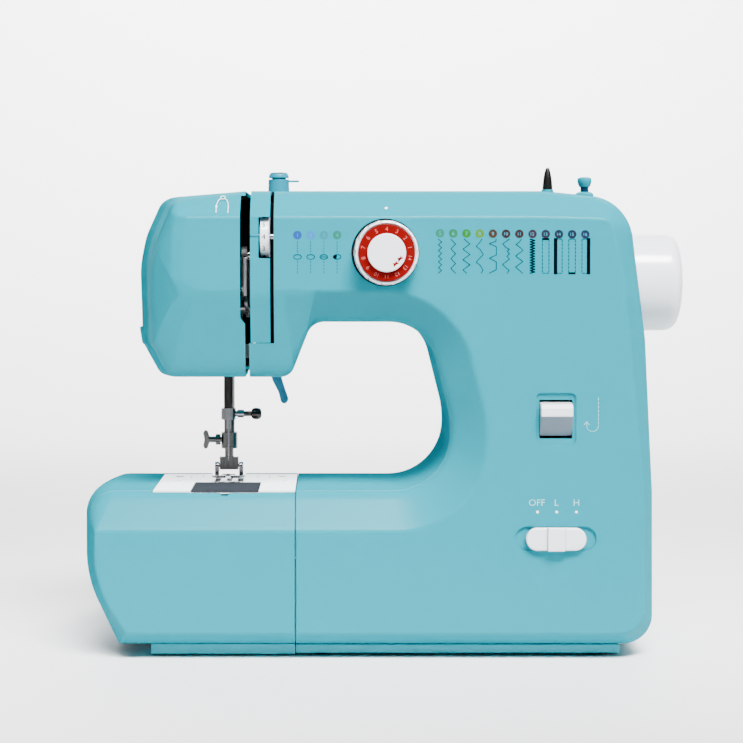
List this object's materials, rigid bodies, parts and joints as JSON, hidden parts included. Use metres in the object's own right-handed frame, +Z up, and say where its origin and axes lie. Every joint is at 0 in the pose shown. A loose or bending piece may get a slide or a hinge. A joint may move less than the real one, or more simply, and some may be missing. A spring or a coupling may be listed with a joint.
{
  "type": "sewing machine",
  "caption": "Portable electric sewing machine with a free arm, a detachable extension table, a front stitch dial and a right-hand hand wheel.",
  "frame": {"origin": "on the table under the middle of the overall box", "axes": "+X towards the hand wheel, +Y away from the person sewing, +Z up"},
  "size_m": [0.3395, 0.134, 0.273],
  "materials": {
    "teal_plastic": "glossy moulded plastic",
    "dark_teal_plastic": "satin moulded plastic",
    "lever_blue": "satin moulded plastic",
    "white_plastic": "glossy moulded plastic",
    "plate_white": "pale painted steel plate",
    "smoke_plastic": "polished smoked plastic",
    "red_plastic": "glossy printed ring",
    "rubber": "moulded rubber",
    "belt_rubber": "reinforced rubber",
    "black_plastic": "moulded plastic",
    "cast_alloy": "as cast",
    "brass": "sintered",
    "bright_steel": "plated",
    "dark_steel": "blackened",
    "board": "solder mask over glass laminate"
  },
  "bodies": {
    "machine": {"front_cover": "teal_plastic", "rear_cover": "teal_plastic", "face_cover": "teal_plastic", "thread_strip": "teal_plastic", "free_arm_cover": "dark_teal_plastic", "needle_plate": "plate_white", "base_plate": "dark_teal_plastic", "rubber_feet": "rubber", "bed_frame": "cast_alloy", "column_frame": "cast_alloy", "arm_frame": "cast_alloy", "head_bracket": "cast_alloy", "shaft_bushes": "brass", "timing_belt": "belt_rubber", "bobbin_case": "black_plastic", "motor": "dark_steel", "motor_belt": "belt_rubber", "presser_spring": "bright_steel", "tension_discs": "bright_steel", "circuit_board": "board", "power_jack": "black_plastic", "pedal_jack": "black_plastic", "winder_stopper": "teal_plastic", "thread_guide_post": "teal_plastic"},
    "upper_drive": {"upper_shaft": "bright_steel", "handwheel": "white_plastic", "drive_pulley": "black_plastic", "timing_pulleys": "black_plastic", "crank_disc": "bright_steel"},
    "lower_drive": {"lower_shaft": "bright_steel", "lower_pulley": "black_plastic", "hook_drive_gear": "bright_steel"},
    "hook_unit": {"hook_shaft": "bright_steel", "rotary_hook": "bright_steel"},
    "motor_rotor": {"motor_pulley": "bright_steel"},
    "needle_unit": {"needle_bar": "dark_steel", "needle_clamp": "dark_steel", "needle": "bright_steel", "connecting_rod": "cast_alloy"},
    "needle_screw": {"clamp_screw": "bright_steel"},
    "presser_unit": {"presser_bar": "bright_steel", "foot_holder": "bright_steel"},
    "foot": {"presser_foot": "bright_steel"},
    "ankle_screw": {"foot_screw": "bright_steel"},
    "lifter": {"presser_lifter": "lever_blue"},
    "take_up": {"take_up_lever": "bright_steel"},
    "stitch_selector": {"stitch_dial": "white_plastic", "dial_ring": "red_plastic", "cam_stack": "white_plastic"},
    "tension_wheel": {"tension_dial": "white_plastic"},
    "reverse": {"reverse_lever": "white_plastic"},
    "switch": {"speed_switch": "white_plastic"},
    "winder_carrier": {"winder_arm": "dark_steel"},
    "winder": {"winder_spindle": "dark_steel"},
    "spool_holder": {"spool_pin": "white_plastic"},
    "bobbin_lid": {"bobbin_cover": "smoke_plastic"},
    "spool_of_bobbin": {"bobbin": "bright_steel"},
    "feed_carrier": {"feed_bar": "cast_alloy"},
    "feed": {"feed_dogs": "cast_alloy"},
    "table": {"extension_table": "teal_plastic"}
  },
  "joints": [
    {"name": "hand_wheel_turn", "type": "hinge", "parent": "machine", "child": "upper_drive", "pos_m": [0, 0.007, 0.2072], "axis": [1, 0, 0], "continuous": true},
    {"name": "lower_shaft_turn", "type": "hinge", "parent": "machine", "child": "lower_drive", "pos_m": [0, 0.007, 0.046], "axis": [1, 0, 0], "continuous": true},
    {"name": "hook_turn", "type": "hinge", "parent": "machine", "child": "hook_unit", "pos_m": [-0.089, -0.01, 0], "axis": [0, 0, 1], "continuous": true},
    {"name": "motor_turn", "type": "hinge", "parent": "machine", "child": "motor_rotor", "pos_m": [0, -0.005, 0.0332], "axis": [1, 0, 0], "continuous": true},
    {"name": "needle_bar_slide", "type": "slide", "parent": "machine", "child": "needle_unit", "axis": [0, 0, 1], "range_m": [-0.03, 0]},
    {"name": "needle_screw_turn", "type": "hinge", "parent": "needle_unit", "child": "needle_screw", "pos_m": [-0.089, 0.007, 0.1311], "axis": [1, 0, 0], "range_deg": [0, 360]},
    {"name": "presser_lift", "type": "slide", "parent": "machine", "child": "presser_unit", "axis": [0, 0, 1], "range_m": [-0.0024, 0.005], "deforming": ["presser_spring"]},
    {"name": "foot_tilt", "type": "hinge", "parent": "presser_unit", "child": "foot", "pos_m": [-0.089, 0.014, 0.1007], "axis": [1, 0, 0], "range_deg": [-8, 1]},
    {"name": "foot_screw_turn", "type": "hinge", "parent": "presser_unit", "child": "ankle_screw", "pos_m": [-0.089, 0.017, 0.1153], "axis": [1, 0, 0], "range_deg": [0, 360]},
    {"name": "lifter_swing", "type": "hinge", "parent": "machine", "child": "lifter", "pos_m": [-0.062, 0.017, 0.166], "axis": [0, -1, 0], "range_deg": [-26, 54]},
    {"name": "take_up_swing", "type": "hinge", "parent": "machine", "child": "take_up", "pos_m": [-0.0797, -0.013, 0.1912], "axis": [1, 0, 0], "range_deg": [-12, 20]},
    {"name": "stitch_dial_turn", "type": "hinge", "parent": "machine", "child": "stitch_selector", "pos_m": [0, 0.007, 0.2238], "axis": [0, 1, 0], "continuous": true},
    {"name": "tension_turn", "type": "hinge", "parent": "machine", "child": "tension_wheel", "pos_m": [-0.0742, -0.0436, 0.2326], "axis": [1, 0, 0], "range_deg": [-150, 150]},
    {"name": "reverse_press", "type": "hinge", "parent": "machine", "child": "reverse", "pos_m": [0.093, -0.036, 0.133], "axis": [1, 0, 0], "range_deg": [0, 13], "stiffness_Nm_per_rad": 0.25},
    {"name": "speed_slide", "type": "slide", "parent": "machine", "child": "switch", "axis": [1, 0, 0], "range_m": [-0.0054, 0.0054]},
    {"name": "winder_shift", "type": "slide", "parent": "machine", "child": "winder_carrier", "axis": [1, 0, 0], "range_m": [0, 0.004]},
    {"name": "winder_spin", "type": "hinge", "parent": "winder_carrier", "child": "winder", "pos_m": [0.0952, 0.015, 0.258], "axis": [0, 0, 1], "continuous": true},
    {"name": "spool_pin_pull", "type": "slide", "parent": "machine", "child": "spool_holder", "axis": [0, 0, 1], "range_m": [0, 0.05]},
    {"name": "bobbin_cover_slide", "type": "slide", "parent": "machine", "child": "bobbin_lid", "axis": [0, -1, 0], "range_m": [0, 0.038]},
    {"name": "bobbin_spin", "type": "hinge", "parent": "machine", "child": "spool_of_bobbin", "pos_m": [-0.089, -0.01, 0.0819], "axis": [0, 0, 1], "continuous": true},
    {"name": "feed_advance", "type": "slide", "parent": "machine", "child": "feed_carrier", "axis": [0, 1, 0], "range_m": [-0.0015, 0.0015]},
    {"name": "feed_lift", "type": "slide", "parent": "feed_carrier", "child": "feed", "axis": [0, 0, 1], "range_m": [0, 0.002]},
    {"name": "table_slide", "type": "slide", "parent": "machine", "child": "table", "axis": [-1, 0, 0], "range_m": [0, 0.13]}
  ],
  "couplings": [
    {"joint": "lower_shaft_turn", "follows": "hand_wheel_turn", "ratio": 1},
    {"joint": "hook_turn", "follows": "hand_wheel_turn", "ratio": 2},
    {"joint": "motor_turn", "follows": "hand_wheel_turn", "ratio": 4},
    {"joint": "lifter_swing", "follows": "presser_lift", "rad_per_m": 174.5}
  ]
}
